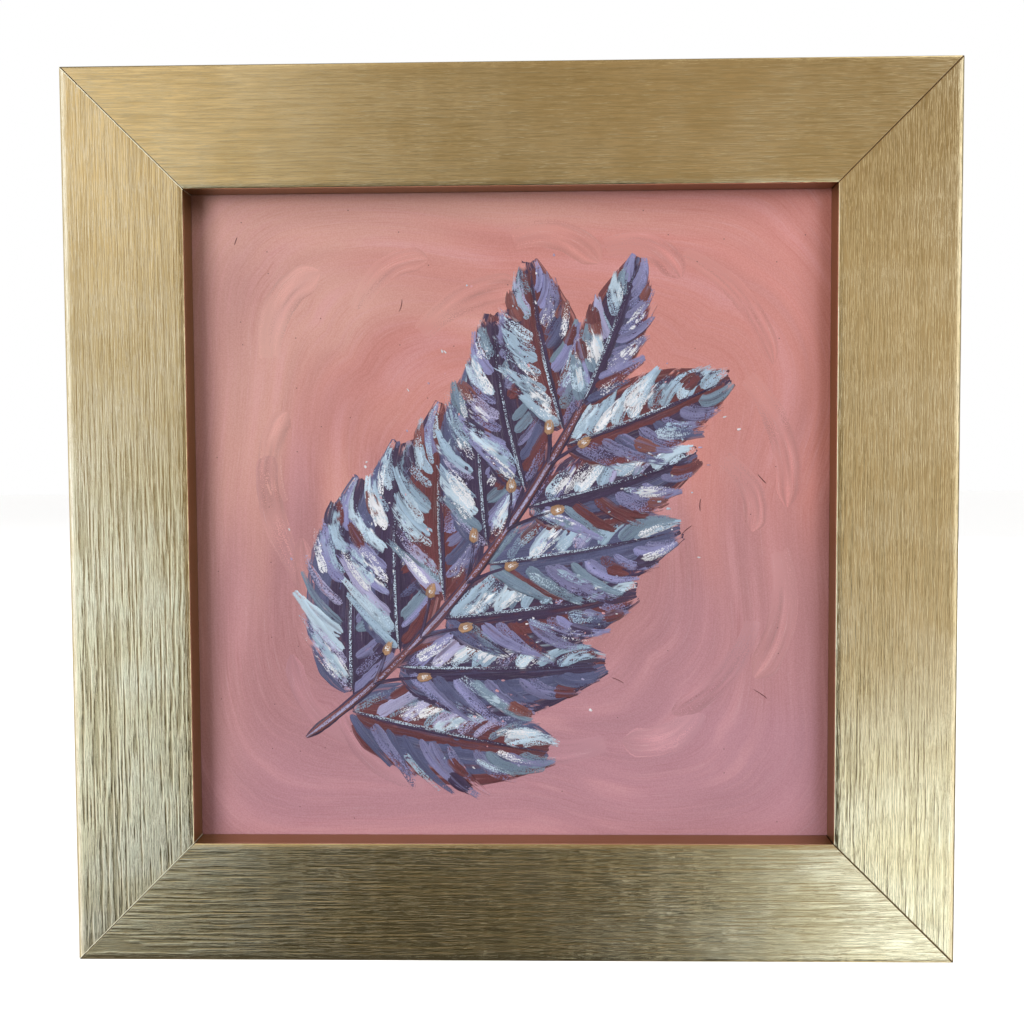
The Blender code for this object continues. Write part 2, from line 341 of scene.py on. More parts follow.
def moulding_finish():
    """Gold foil with streaks, dirt, painted shade, a painted reflection and a painted highlight, and raw wood
    where the foil ends.
    """
    finish = new_finish("champagne_foil_on_wood")
    run = finish.run("run")
    grain = finish.attribute("grain")
    bare = finish.attribute("bare")
    dirt_and_painted_light = finish.attribute("dirt_and_painted_light")

    streaks = finish.noise(run, (8.0 * MM, 0.24 * MM, 1.0), 2.0, 0.5)
    plateaus = finish.step(streaks, 0.42, 0.54)
    dashes = finish.noise(run, (1.5 * MM, 0.16 * MM, 1.0), 1.0)
    clouds = finish.noise(finish.place(), (17 * MM, 17 * MM, 17 * MM), 2.0)
    foil = finish.mix(opaque(233, 216, 176), opaque(225, 205, 160), finish.step(clouds, 0.35, 0.65))
    # painted shade: the streaks between the plateaus and the deep grain are darkened
    foil = finish.mix(foil, opaque(150, 128, 74), (1 - plateaus) * 0.14 + grain * 0.28)
    # painted reflection and shade: the lip's wall turns brown like the shaded pink paint it mirrors; the
    # seams' dirt turns brown too
    foil = finish.mix(foil, opaque(138, 96, 40), finish.step(dirt_and_painted_light, 0.0, 0.6, 0.0, 0.88))
    foil = finish.mix(foil, opaque(30, 22, 14), finish.step(dirt_and_painted_light, 0.6, 0.9))
    # painted highlight: below 0, a pale line that isn't metal, as if an eased edge caught the light
    painted_mitre_highlight = finish.step(dirt_and_painted_light, -0.2, -0.7)
    foil = finish.mix(foil, opaque(255, 246, 212), painted_mitre_highlight)

    rings = finish.noise(run, (70 * MM, 2.2 * MM, 1.0), 3.0, 0.55, 0.3)
    pores = finish.noise(run, (2.4 * MM, 0.2 * MM, 1.0), 1.0)
    wood = finish.mix(opaque(214, 188, 146), opaque(190, 157, 112), finish.step(rings, 0.38, 0.66))
    wood = finish.mix(wood, opaque(128, 98, 64), finish.step(pores, 0.64, 0.76, 0.0, 0.55))
    wood = finish.mix(wood, opaque(72, 52, 34), finish.step(dirt_and_painted_light, 0.3, 0.9, 0.0, 0.8))

    foil_normal = finish.bump(plateaus * 0.6 + dashes * 0.4, 0.018 * MM)
    wood_normal = finish.bump((rings * 0.5 + pores * 0.5) * bare, 0.09 * MM, foil_normal)
    foil_rough = 0.13 + dashes * 0.09 + grain * 0.05 + finish.step(dirt_and_painted_light, 0.0, 1.0, 0.0, 0.25)
    finish.sets(
        base_color=finish.mix(foil, wood, bare),
        metallic=(1 - bare) * (1 - finish.step(dirt_and_painted_light, 0.0, 1.0, 0.0, 0.3)) * (1 - painted_mitre_highlight),
        roughness=foil_rough + bare * 0.45,
        normal=wood_normal,
    )
    return finish.owner


MOULDING = moulding_finish()

# %% [markdown]
# ## The moulding's section
#
# The section is drawn once, as a line of points that starts behind the lip and runs over
# the face to the back. Near the sight edge the face falls away gently to a fine arris, and
# the outer edge is eased more across the face than down the side. Each point also knows the
# direction into the wood, so the grain can be pressed in.

# %% Section of the moulding
ARRIS = 0.32 * MM           # radius of the sight edge
FALL_WIDTH = 0.95 * MM      # stretch beside the arris where the face falls away
FALL_DEPTH = 0.10 * MM
EDGE_WIDTH = 1.7 * MM       # the outer edge is a quarter of an ellipse
EDGE_DROP = 0.46 * MM
BACK_ROUND = 0.4 * MM
RABBET_WIDTH = 6.0 * MM
FACE_STEP = 0.135 * MM      # spacing of the points that carry the grain
SIDE_STEP = 0.45 * MM


def arc(centre, radii, start, end, count):
    """Points on an arc of an ellipse, angles in degrees, with its first point left out."""
    angle = np.radians(np.linspace(start, end, count + 1)[1:])
    return np.stack([centre[0] + radii[0] * np.cos(angle), centre[1] + radii[1] * np.sin(angle)], 1)


def line(start, end, step):
    """Evenly spaced points on a straight line, with its first point left out."""
    start, end = np.array(start), np.array(end)
    count = max(1, round(float(np.linalg.norm(end - start)) / step))
    return start + (end - start) * np.linspace(0, 1, count + 1)[1:, None]


def moulding_section():
    """Points as distance outwards from the sight edge and depth behind the face."""
    share = np.linspace(0, 1, 13)
    fall = np.stack([ARRIS + FALL_WIDTH * share, FALL_DEPTH * (1 - share) ** 1.6], 1)
    face_end = RAIL_FACE - EDGE_WIDTH
    back = (RAIL_FACE - BACK_ROUND, RAIL_DEPTH - BACK_ROUND)
    return np.concatenate([
        [[0.0, LIP_DEPTH]],
        line((0.0, LIP_DEPTH), (0.0, FALL_DEPTH + ARRIS), 0.4 * MM),
        arc((ARRIS, FALL_DEPTH + ARRIS), (ARRIS, ARRIS), 180, 258, 6),
        fall,
        line(fall[-1], (face_end, 0.0), FACE_STEP),
        arc((face_end, EDGE_DROP), (EDGE_WIDTH, EDGE_DROP), 270, 360, 14),
        line((RAIL_FACE, EDGE_DROP), (RAIL_FACE, back[1]), SIDE_STEP),
        arc(back, (BACK_ROUND, BACK_ROUND), 0, 90, 3),
        line((back[0], RAIL_DEPTH), (RABBET_WIDTH, RAIL_DEPTH), 2 * MM),
        line((RABBET_WIDTH, RAIL_DEPTH), (RABBET_WIDTH, LIP_DEPTH), 2 * MM),
        line((RABBET_WIDTH, LIP_DEPTH), (0.0, LIP_DEPTH), 2 * MM)[:-1],
    ])


section = moulding_section()
section_step = np.roll(section, -1, 0) - np.roll(section, 1, 0)
section_step /= np.linalg.norm(section_step, axis=1, keepdims=True)
section_inward = np.stack([-section_step[:, 1], section_step[:, 0]], 1)
travel = np.linalg.norm(np.diff(section, axis=0), axis=1)
section_run = np.concatenate([[0.0], np.cumsum(travel)])
print("section points:", len(section))

# %% [markdown]
# ## The embossed grain
#
# Up close the foil has two levels, narrow plateaus and the streaks between them, with crisp,
# wavering steps. They lie under 1 mm apart and are 5 to 13 mm long. Stretched noise gives
# them, cut off near its middle, and a slower noise widens the plateaus here and there. The
# rollers pressed unevenly, so the grain's strength changes round the frame.

# %% Grain of the foil
GRAIN_DEPTH = 0.028 * MM


def foil_grain(along, across, seed):
    """0 on the plateaus and 1 in the streaks between them."""
    across = across + 0.07 * MM * noise(along / (9 * MM), across / (3 * MM), seed)
    field = 0.6 * noise(along / (13 * MM), across / (0.40 * MM), seed + 1)
    field += 0.4 * noise(along / (5 * MM), across / (0.30 * MM), seed + 2)
    field += 0.3 * noise(along / (24 * MM), across / (5 * MM), seed + 3)
    return smooth_step(0.0, 0.34, field)


def foil_cover():
    """How strongly the grain shows round the section: full on the face, less on the sides."""
    out, depth = section.T
    face = smooth_step(0.7 * MM, 1.4 * MM, out) * (depth < EDGE_DROP)
    turn = 1 - 0.8 * smooth_step(RAIL_FACE - 1.1 * EDGE_WIDTH, RAIL_FACE - 0.7 * EDGE_WIDTH, out)
    side = 0.6 * (out > RAIL_FACE - 0.01 * MM) * (depth < RAIL_DEPTH - 2 * BACK_ROUND)
    return np.maximum(face * turn, side)


def grain_strength(across, up):
    """How deep the rollers pressed: least at the top and the right, most at the lower left.

    Both places are counted from the middle of the face, in halves of the opening's height.
    """
    upper, right_half = smooth_step(0.0, 0.5, up), smooth_step(-0.4, 0.6, across)
    right_rail, lower_left = smooth_step(1.02, 1.1, across), smooth_step(1.2, 2.2, -up - across)
    return (1 - 0.5 * upper) * (1 - 0.2 * right_half) * (1 - 0.28 * right_rail) * (1 + 0.4 * lower_left)


def bare_wood():
    """1 where the section shows raw wood: on the back, in the rabbet and behind the lip."""
    out, depth = section.T
    back = depth > RAIL_DEPTH - 0.9 * BACK_ROUND
    rabbet = (out < RABBET_WIDTH + 0.01 * MM) & (depth > LIP_DEPTH - 0.01 * MM) & (out > 0)
    return (back | rabbet).astype(float)


def painted_lip_reflection():
    """The wall of the lip, from just behind the arris, is dull and painted brown: a painted reflection of the
    shaded pink paint.
    """
    out, depth = section.T
    return 0.6 * (out < 0.5 * ARRIS) * smooth_step(FALL_DEPTH + ARRIS, FALL_DEPTH + 2 * ARRIS, depth)


# %% [markdown]
# ## Four mitred rails
#
# A rail is the section carried along a straight line. Each line of points ends on the
# 45-degree mitre, so it is longer the farther out it lies. The last points are pressed in a
# little, which is the fine groove that shows where two sawn ends meet. The seams are dark
# with dirt, but at both ends of the left rail a pale line is painted: a painted highlight
# where the eased edge catches the light.

# %% Build the rails
MITRE_GAP = 0.012 * MM
SEAM_WIDTH = 0.26 * MM
RAIL_COLUMNS = 150


def rail_spread():
    """Places along a rail from -1 to 1, close together at the mitres."""
    edge = SEAM_WIDTH / SIGHT_HALF_HEIGHT
    middle = np.linspace(-1 + 5 * edge, 1 - 5 * edge, RAIL_COLUMNS)
    end = 1 - edge * np.array([1.2, 1.0, 0.5, 0.0])
    return np.concatenate([-end[::-1], middle, end])


def add_rail(name, outward, along, half_along, half_across, seam_depth, seam_dirt_and_painted_highlight, seed):
    """The section swept along one side, with its ends on the mitres."""
    spread = rail_spread()[:, None]
    out, depth = section[:, 0][None, :], section[:, 1][None, :]
    across, up = (
        ((half_across + out) * outward[axis] + spread * (half_along + out) * along[axis]) / SIGHT_HALF_HEIGHT
        for axis in (0, 2)
    )
    cover = foil_cover()[None, :] * grain_strength(across, up)
    grain = foil_grain(spread * (half_along + out), section_run[None, :] + 0 * spread, seed) * cover
    seam = np.clip((np.abs(spread) - 1) * SIGHT_HALF_HEIGHT / SEAM_WIDTH + 1, 0, 1)
    foiled = 1 - bare_wood()[None, :]
    pressed = GRAIN_DEPTH * grain + seam_depth * seam * foiled
    out = out + pressed * section_inward[:, 0]
    depth = depth + pressed * section_inward[:, 1]
    reach = spread * (half_along + out - MITRE_GAP)

    origin = np.array(FACE_MIDDLE) + half_across * outward
    points = origin + out[..., None] * outward + reach[..., None] * along
    points[..., 1] += depth
    rows, columns = grain.shape
    piece = add_mesh(name, points.reshape(-1, 3), tube_faces(rows, columns), MOULDING)
    # near the mitres the seam's dirt, on the left rail a painted highlight instead; elsewhere the lip's
    # painted reflection
    parted = smooth_step(0.1, 0.5, seam)
    dirt_and_painted_light = seam_dirt_and_painted_highlight * parted + painted_lip_reflection()[None, :] * (1 - parted)
    give_value(piece, "grain", grain)
    give_value(piece, "bare", 0 * spread + bare_wood()[None, :])
    give_value(piece, "dirt_and_painted_light", dirt_and_painted_light)
    run = np.stack([reach + 3 * seed * MM, section_run[None, :] + 0 * reach], -1)
    give_map(piece, "run", run.reshape(-1, 2))
    return piece


RIGHT, UP = np.array([1.0, 0.0, 0.0]), np.array([0.0, 0.0, 1.0])
RAIL_SIDES = {
    # outward, along, half of its length and of the way across, seam's depth, and seam's dirt (below 0 a
    # painted highlight)
    "top_rail": (UP, RIGHT, SIGHT_HALF_WIDTH, SIGHT_HALF_HEIGHT, 0.04 * MM, 1.0),
    "bottom_rail": (-UP, -RIGHT, SIGHT_HALF_WIDTH, SIGHT_HALF_HEIGHT, 0.04 * MM, 1.0),
    "left_rail": (-RIGHT, UP, SIGHT_HALF_HEIGHT, SIGHT_HALF_WIDTH, 0.01 * MM, -1.0),
    "right_rail": (RIGHT, -UP, SIGHT_HALF_HEIGHT, SIGHT_HALF_WIDTH, 0.03 * MM, 0.5),
}
for number, (name, side) in enumerate(RAIL_SIDES.items()):
    rail = add_rail(name + "_moulding", *side, 10 * number + 1)
    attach(rail, "root")
    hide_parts(name)
    print(name, len(rail.data.polygons), "faces")

# %% [markdown]
# ## Paint
#
# Every painted thing shares one finish. A brush leaves ridges along its path, so each point
# carries `flow`: how far along the stroke it lies, how far across, and a third number that
# keeps the strokes from sharing one pattern. Where the brush ran dry it skips over the
# tooth of the layer below, and `under` is the colour that shows through there. `body` says
# how strongly the bristles show: fully in thick strokes, faintly on the ground.

# %% Oil paint
SPECK_SPACING = 6 * MM      # one dark speck of dust at most in a cell of this width


def paint_finish():
    """Oil paint with bristle marks, dry skips, two blended tints and a few specks of dust."""
    finish = new_finish("brushed_oil_paint")
    flow = finish.attribute("flow", "Vector")
    pigment = finish.attribute("pigment", "Color")
    under = finish.attribute("under", "Color")
    dry = finish.attribute("dry")
    body = finish.attribute("body")

    bristles = finish.noise(flow, (9 * MM, 0.2 * MM, 1.0), 3.0, 0.65)
    bands = finish.noise(flow, (15 * MM, 0.8 * MM, 1.0), 1.0)
    tooth = finish.noise(finish.place(), (0.3 * MM, 0.3 * MM, 0.3 * MM), 2.0)
    grip = tooth * 0.62 + bristles * 0.38
    skipped = 1 - finish.step(grip - dry * 0.42, 0.16, 0.21)

    blended = finish.mix(pigment, under, finish.step(bands, 0.48, 0.72, 0.0, 0.5))
    deeper = finish.mix(blended, blended, 1.0, "MULTIPLY")
    toned = finish.mix(blended, deeper, finish.step(bristles, 0.5, 0.25, 0.0, 0.55) * body)
    toned = finish.mix(toned, (1.0, 1.0, 1.0, 1.0), finish.step(bristles, 0.56, 0.8, 0.0, 0.22) * body)
    x, _, z = (finish.node("ShaderNodeSeparateXYZ", None, {0: finish.place()}, axis) for axis in range(3))
    level = finish.node("ShaderNodeCombineXYZ", None, {0: x, 1: z})
    spots = {"voronoi_dimensions": "2D", "feature": "F1"}
    cells = {"Vector": level, "Scale": 1 / SPECK_SPACING}
    nearness = finish.node("ShaderNodeTexVoronoi", spots, cells, "Distance")
    lot = finish.node("ShaderNodeTexVoronoi", spots, cells, "Color")
    chosen = finish.step(finish.node("ShaderNodeSeparateColor", None, {0: lot}), 0.86, 0.87, 0.0, 0.8)
    speck = finish.step(nearness * SPECK_SPACING, 0.16 * MM, 0.09 * MM) * chosen
    mottled = finish.mix(toned, deeper, finish.step(tooth, 0.62, 0.36, 0.0, 0.2))
    relief = bristles * 0.65 * body + tooth * (0.5 + body * 0.3)
    finish.sets(
        base_color=finish.mix(finish.mix(mottled, under, skipped), opaque(74, 44, 48), speck),
        roughness=0.38 + bristles * 0.14 + skipped * 0.12,
        normal=finish.bump(relief, 0.045 * MM),
    )
    return finish.owner


PAINT = paint_finish()

# %% [markdown]
# ## The painted ground
#
# The ground was brushed round the picture's middle: level strokes above and below, upright
# ones at the sides. That direction comes from a radius that is round in the middle and
# square at the edges. Its value is `across`, and the angle times it is `along`. The pinks
# were blended wet, warmer at the top left and more mauve towards the foot. Light and shade
# are painted in too: the pinks get lighter towards the right, and a painted shadow darkens
# them by the left and right lips.

# %% Ground of the painting
PAINT_FRONT = panel_low.y
PAINT_SKIN = 0.15 * MM
PANEL_HALF = np.array([panel_high.x - panel_low.x, panel_high.z - panel_low.z]) / 2
PEACH, CORAL = linear(221, 172, 160), linear(217, 150, 142)
ROSE, MAUVE = linear(190, 140, 144), linear(198, 147, 158)
PALE_PINK = linear(220, 166, 170)


def flow_round_middle(x, z):
    """Along, across and a slow third number, from the rounded-square radius of a place."""
    u, v = np.abs(x) / PANEL_HALF[0], np.abs(z) / PANEL_HALF[1]
    power = 2 + 3.5 * smooth_step(0.25, 0.95, np.maximum(u, v))
    radius = (u ** power + v ** power + 1e-9) ** (1 / power) * PANEL_HALF[0]
    angle = np.abs(np.arctan2(x, -z))
    waver = 5 * MM * noise(x / (31 * MM), z / (31 * MM), 71)
    return np.stack([angle * radius, radius + waver, 0.5 + x / (30 * MM)], -1)


def sweeps(flow, length, width, seed):
    """Soft brush sweeps from -1 to 1, of the given length and width."""
    shift = 0.9 * flow[..., 2]
    return noise(flow[..., 0] / length + shift, flow[..., 1] / width, seed)


def blend(first, second, share):
    """A colour between two for each place."""
    return first * (1 - share[..., None]) + np.array(second) * share[..., None]


def ground_colour(x, z):
    """Pinks that turn from peach at the upper left to mauve at the foot, swept by the brush, lighter towards
    the right as painted light and darker by the side lips as a painted shadow.
    """
    u, v = x / PANEL_HALF[0], z / PANEL_HALF[1]
    flow = flow_round_middle(x, z)
    wide, fine = sweeps(flow, 34 * MM, 7 * MM, 72), sweeps(flow, 22 * MM, 2.2 * MM, 73)
    cloud = noise(x / (19 * MM), z / (19 * MM), 74)
    colour = np.array(CORAL) + np.zeros(x.shape + (3,))
    colour = blend(colour, ROSE, smooth_step(0.35, -0.25, v + 0.25 * wide) * 0.75)
    colour = blend(colour, MAUVE, smooth_step(-0.15, -0.8, v - 0.1 * u + 0.2 * cloud) * 0.85)
    colour = blend(colour, ROSE, smooth_step(-0.5, -0.95, u + 0.1 * wide) * 0.6)
    colour = blend(colour, PEACH, smooth_step(0.15, 0.9, 0.55 * v - 0.6 * u + 0.3 * wide) * 0.8)
    colour = blend(colour, PALE_PINK, smooth_step(0.25, 0.9, fine) * 0.3)
    # painted light: the 0.06 * u term makes the pinks lighter towards the right and darker towards the left;
    # the rest is the brush's tone
    colour = colour * (0.98 + 0.05 * fine + 0.05 * wide + 0.06 * u)[..., None]
    # painted shadow: darker and browner within a few millimetres of the left and right lips
    rim = smooth_step(0.885, 0.935, np.abs(u) + 0.01 * wide)
    return blend(colour, colour * np.array([0.76, 0.68, 0.62]), rim)


def ground_height(x, z):
    """Low brush relief in metres."""
    flow = flow_round_middle(x, z)
    return MM * (0.012 * sweeps(flow, 26 * MM, 2.4 * MM, 75) + 0.006 * sweeps(flow, 12 * MM, 0.9 * MM, 76))


def ground_body(x, z):
    """How strongly the bristle marks show on the ground, from 0.16 to 0.68 in patches."""
    return 0.42 + 0.26 * noise(x / (13 * MM), z / (13 * MM), 77)


# %% [markdown]
# ## Wet paint, cell by cell
#
# Thick strokes lie over each other, so each one has to know what is under it. `WetPaint` is
# a map of the painting with the height and colour of its top layer in cells of 0.3 mm. A
# stroke reads the map where it runs, adds its own thickness, and writes itself back.

# %% Map of the wet paint
CELL = 0.3 * MM


class WetPaint:
    """Height and colour of the painting's top layer, by cells."""

    def __init__(self):
        self.shape = np.ceil(2 * PANEL_HALF / CELL).astype(int) + 1
        x, z = (np.arange(count) * CELL - half for count, half in zip(self.shape, PANEL_HALF))
        x, z = np.meshgrid(x, z, indexing="ij")
        self.height, self.colour = ground_height(x, z), ground_colour(x, z)

    def cells(self, places):
        """The cell of each place, kept inside the map."""
        found = np.rint((places + PANEL_HALF) / CELL).astype(int)
        return np.clip(found, 0, self.shape - 1)

    def level(self, places):
        """The height at each place, as the mean of its cell and four others round it."""
        total = 0
        for shift in ((0, 0), (2, 0), (-2, 0), (0, 2), (0, -2)):
            i, j = np.moveaxis(self.cells(places + np.array(shift) * CELL / 2), -1, 0)
            total = total + self.height[i, j]
        return total / 5

    def tint(self, places):
        """The colour at each place."""
        i, j = np.moveaxis(self.cells(places), -1, 0)
        return self.colour[i, j]

    def lay(self, places, height, colour, wet):
        """Write a stroke where it is wet and stands above what was there."""
        i, j = (part[wet] for part in np.moveaxis(self.cells(places), -1, 0))
        order = np.argsort(height[wet])
        i, j, top, tone = i[order], j[order], height[wet][order], colour[wet][order]
        above = top > self.height[i, j]
        self.height[i[above], j[above]] = top[above]
        self.colour[i[above], j[above]] = tone[above]


# %% [markdown]
# ## One brush stroke
#
# A stroke is a ribbon along a curve with three guide points. Its width swells and dies away,
# its ends are ragged because each bristle lifts at its own moment, and paint piles up at
# its sides. The ribbon is closed below, and its rim is sunk into the layer under it.

# %% Brush stroke
ACROSS = np.linspace(-1, 1, 25)
MESH_EVERY = 3
RIM_SINK = 0.05 * MM
BODY = 0.09 * MM


class Strokes:
    """The strokes of one piece, gathered until they become its mesh."""

    def __init__(self, name, wet_paint, seed):
        self.name, self.wet_paint = name, wet_paint
        self.chance = np.random.default_rng(seed)
        self.parts, self.values = [], []

    def brush(self, guides, width, pigment, load=0.14, dry=0.2, taper=0.5):
        """Lay one stroke: guide points in millimetres, its width, colour, load and dryness."""
        first, middle, last = (np.array(guide) * MM for guide in guides)
        reach = np.linalg.norm(middle - first) + np.linalg.norm(last - middle)
        steps = max(6, round(reach / (1.0 * MM)))
        t = np.linspace(0, 1, MESH_EVERY * steps + 1)[:, None]
        q = ACROSS[None, :]
        own = self.chance.uniform(0, 90)
        ragged = noise(q * 7 + own, 0 * t + 3.5, 81) * np.minimum(1, 3 * MM / reach)
        s = np.clip(t + ragged * (0.22 * t - 0.06 * (1 - t)), 0, 1.1)

        centre = ((1 - s) ** 2)[..., None] * first + (2 * s * (1 - s))[..., None] * middle
        centre = centre + (s ** 2)[..., None] * last
        heading = (1 - s)[..., None] * (middle - first) + s[..., None] * (last - middle)
        heading /= np.linalg.norm(heading, axis=-1, keepdims=True)
        normal = np.stack([-heading[..., 1], heading[..., 0]], -1)
        swell = smooth_step(-0.02, 0.14, t) ** 0.5 * (1 - taper * smooth_step(0.45, 1.0, t) ** 1.5)
        edge = 1 + min(0.16, 0.35 / width) * noise(t * reach / (1.7 * MM) + own, np.sign(q) * 5.5, 82)
        places = centre + normal * (q * swell * edge * width * MM / 2)[..., None]

        along, across = t * reach, q * width * MM / 2
        ridges = noise(along / (6 * MM) + own, across / (0.42 * MM), 83)
        bank = np.exp(-((np.abs(q) - 0.8) / 0.13) ** 2)
        ends = smooth_step(0, 0.06, t) * smooth_step(1, 0.9, t)
        rim = smooth_step(1.0, 0.86, np.abs(q)) * ends
        body = load * MM * (0.7 + 0.35 * ridges + 0.45 * bank) * rim
        below = self.wet_paint.level(places)
        top = below + body - RIM_SINK * (1 - rim)
        under = self.wet_paint.tint(places)
        streak = 1 + 0.22 * noise(along / (9 * MM) + own, across / (0.7 * MM), 84)
        colour = np.array(pigment) * streak[..., None]
        thin = np.clip(dry + 0.45 * dry * smooth_step(0.3, 1.0, t) + 0 * q, 0, 1)
        patchy = noise(along / (1.1 * MM) + own, across / (0.5 * MM), 85) * 0.5 + 0.5
        self.wet_paint.lay(places, top, colour, (patchy > 0.85 * thin - 0.15) & (rim > 0.3))

        flow = np.stack([along + 0 * q, across + 0 * t, own + 0 * t * q], -1)
        values = {"pigment": colour, "under": under, "flow": flow, "dry": thin, "body": 1 + 0 * thin}
        every = slice(None, None, MESH_EVERY)
        self.gather(places[every, every], top[every, every], {k: v[every, every] for k, v in values.items()})

    def gather(self, places, top, values):
        """Close the ribbon with a second layer under it, and keep its points and values."""
        rows, columns = top.shape
        heights = np.stack([top, top - BODY - RIM_SINK])
        x, z = places[..., 0] + 0 * heights, places[..., 1] + CENTRE_Z + 0 * heights
        points = np.stack([x, PAINT_FRONT - heights, z], -1)
        count = rows * columns
        front = grid_faces(rows, columns)
        back = grid_faces(rows, columns, count)[:, ::-1]
        index = np.arange(count).reshape(rows, columns)
        ring = np.concatenate([index[0], index[1:, -1], index[-1, -2::-1], index[-2:0:-1, 0]])
        after = np.roll(ring, -1)
        side = np.stack([after, ring, ring + count, after + count], 1)
        self.parts.append((points.reshape(-1, 3), np.concatenate([front, back, side]).tolist()))
        flat = {key: value.reshape(count, -1) for key, value in values.items()}
        self.values.append({key: np.concatenate([value, value]) for key, value in flat.items()})

    def finish(self):
        """Make the piece, riding on the frame."""
        points, faces = join_parts(self.parts)
        piece = add_mesh(self.name, points, faces, PAINT, 60)
        for key in self.values[0]:
            give_value(piece, key, np.concatenate([values[key] for values in self.values]))
        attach(piece, "root")
        print(self.name, len(self.parts), "strokes,", len(faces), "faces")
        return piece


# %% [markdown]
# ## The board under the paint
#
# The painting is on hardboard: brown, smooth in front and marked at the back by the wire
# screen that it was pressed on. The ground is a thin skin of paint on its front. The skin
# is finer inside the opening than under the lip, where nobody sees it.

# %% Build the board and the ground
GROUND_STEP = 0.7 * MM
wet_paint = WetPaint()


def board_finish():
    """Brown pressed fibres with the print of a wire screen."""
    finish = new_finish("hardboard")
    place = finish.place()
    fibres = finish.noise(place, (1.3 * MM, 1.3 * MM, 1.3 * MM), 4.0, 0.65)
    blotches = finish.noise(place, (23 * MM, 23 * MM, 23 * MM), 2.0)
    x, _, z = (finish.node("ShaderNodeSeparateXYZ", None, {0: place}, axis) for axis in range(3))
    turn = 2 * math.pi / (1.5 * MM)
    wires = x.maths("SINE", x * turn) * 0.25 + z.maths("SINE", z * turn) * 0.25 + 0.5
    brown = finish.mix(opaque(116, 86, 60), opaque(98, 71, 49), finish.step(blotches, 0.3, 0.7))
    brown = finish.mix(brown, opaque(146, 114, 82), finish.step(fibres, 0.55, 0.8, 0.0, 0.6))
    brown = finish.mix(brown, opaque(70, 46, 28), finish.step(wires, 0.35, 0.0, 0.0, 0.45))
    relief = wires * 0.7 + fibres * 0.5
    finish.sets(base_color=brown, roughness=0.72, normal=finish.bump(relief, 0.16 * MM))
    return finish.owner


def add_board():
    """A slab with eased edges behind the skin of paint."""
    low = np.array([panel_low.x, panel_low.y + PAINT_SKIN, panel_low.z])
    high = np.array([panel_high.x, panel_high.y, panel_high.z])
    ease = 0.35 * MM
    layers = []
    for y, inset in ((low[1], ease), (low[1] + ease, 0), (high[1] - ease, 0), (high[1], ease)):
        left, right, foot, head = low[0] + inset, high[0] - inset, low[2] + inset, high[2] - inset
        layers.append([(left, y, foot), (right, y, foot), (right, y, head), (left, y, head)])
    points = np.array(layers).reshape(-1, 3)
    faces = [[0, 1, 2, 3], [15, 14, 13, 12]]
    for layer in range(3):
        for side in range(4):
            here, after = 4 * layer + side, 4 * layer + (side + 1) % 4
            faces.append([after, here, here + 4, after + 4])
    board = add_mesh("hardboard", points, faces, board_finish(), 20)
    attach(board, "root")
    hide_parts("painted_panel")


def ground_lines(half, sight):
    """Places along one side of the skin: fine in the opening, with one step under the lip."""
    count = round(2 * sight / GROUND_STEP)
    return np.concatenate([[-half], np.linspace(-sight, sight, count + 1), [half]])


def add_ground():
    """The skin of paint with its low relief, closed behind by one face."""
    margin = 0.4 * MM
    x = ground_lines(PANEL_HALF[0], SIGHT_HALF_WIDTH + margin)
    z = ground_lines(PANEL_HALF[1], SIGHT_HALF_HEIGHT + margin)
    x, z = np.meshgrid(x, z, indexing="ij")
    height = ground_height(x, z) - 0.06 * MM
    points = np.stack([x, PAINT_FRONT - height, z + CENTRE_Z], -1).reshape(-1, 3)
    rows, columns = x.shape
    index = np.arange(rows * columns).reshape(rows, columns)
    ring = np.concatenate([index[0], index[1:, -1], index[-1, -2::-1], index[-2:0:-1, 0]])
    behind = points[ring]
    behind[:, 1] = PAINT_FRONT + PAINT_SKIN
    start = len(points)
    near, far = ring, start + np.arange(len(ring))
    side = np.stack([np.roll(near, -1), near, far, np.roll(far, -1)], 1)
    faces = grid_faces(rows, columns).tolist() + side.tolist() + [far.tolist()]
    ground = add_mesh("painted_ground", np.concatenate([points, behind]), faces, PAINT, 60)

    everywhere = np.concatenate([np.arange(start), ring])
    x, z = x.ravel()[everywhere], z.ravel()[everywhere]
    colour = ground_colour(x, z)
    give_value(ground, "pigment", colour)
    give_value(ground, "under", blend(colour, PALE_PINK, np.full(x.shape, 0.35)))
    give_value(ground, "flow", flow_round_middle(x, z))
    give_value(ground, "dry", np.zeros(len(x)))
    give_value(ground, "body", ground_body(x, z))
    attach(ground, "root")
    print("painted ground:", len(faces), "faces")


add_board()
add_ground()

# %% [markdown]
# ## Loose strokes on the ground
#
# Before the motif goes on, a few broad, thin strokes are left on the ground round it. They
# are nearly the ground's own pinks, and only their edges and a pale dry patch show.

# %% Strokes on the ground
LOOSE_STROKES = 18


def turned(vector, degrees):
    """A vector turned anticlockwise."""
    c, s = math.cos(math.radians(degrees)), math.sin(math.radians(degrees))
    return np.array([c * vector[0] - s * vector[1], s * vector[0] + c * vector[1]])


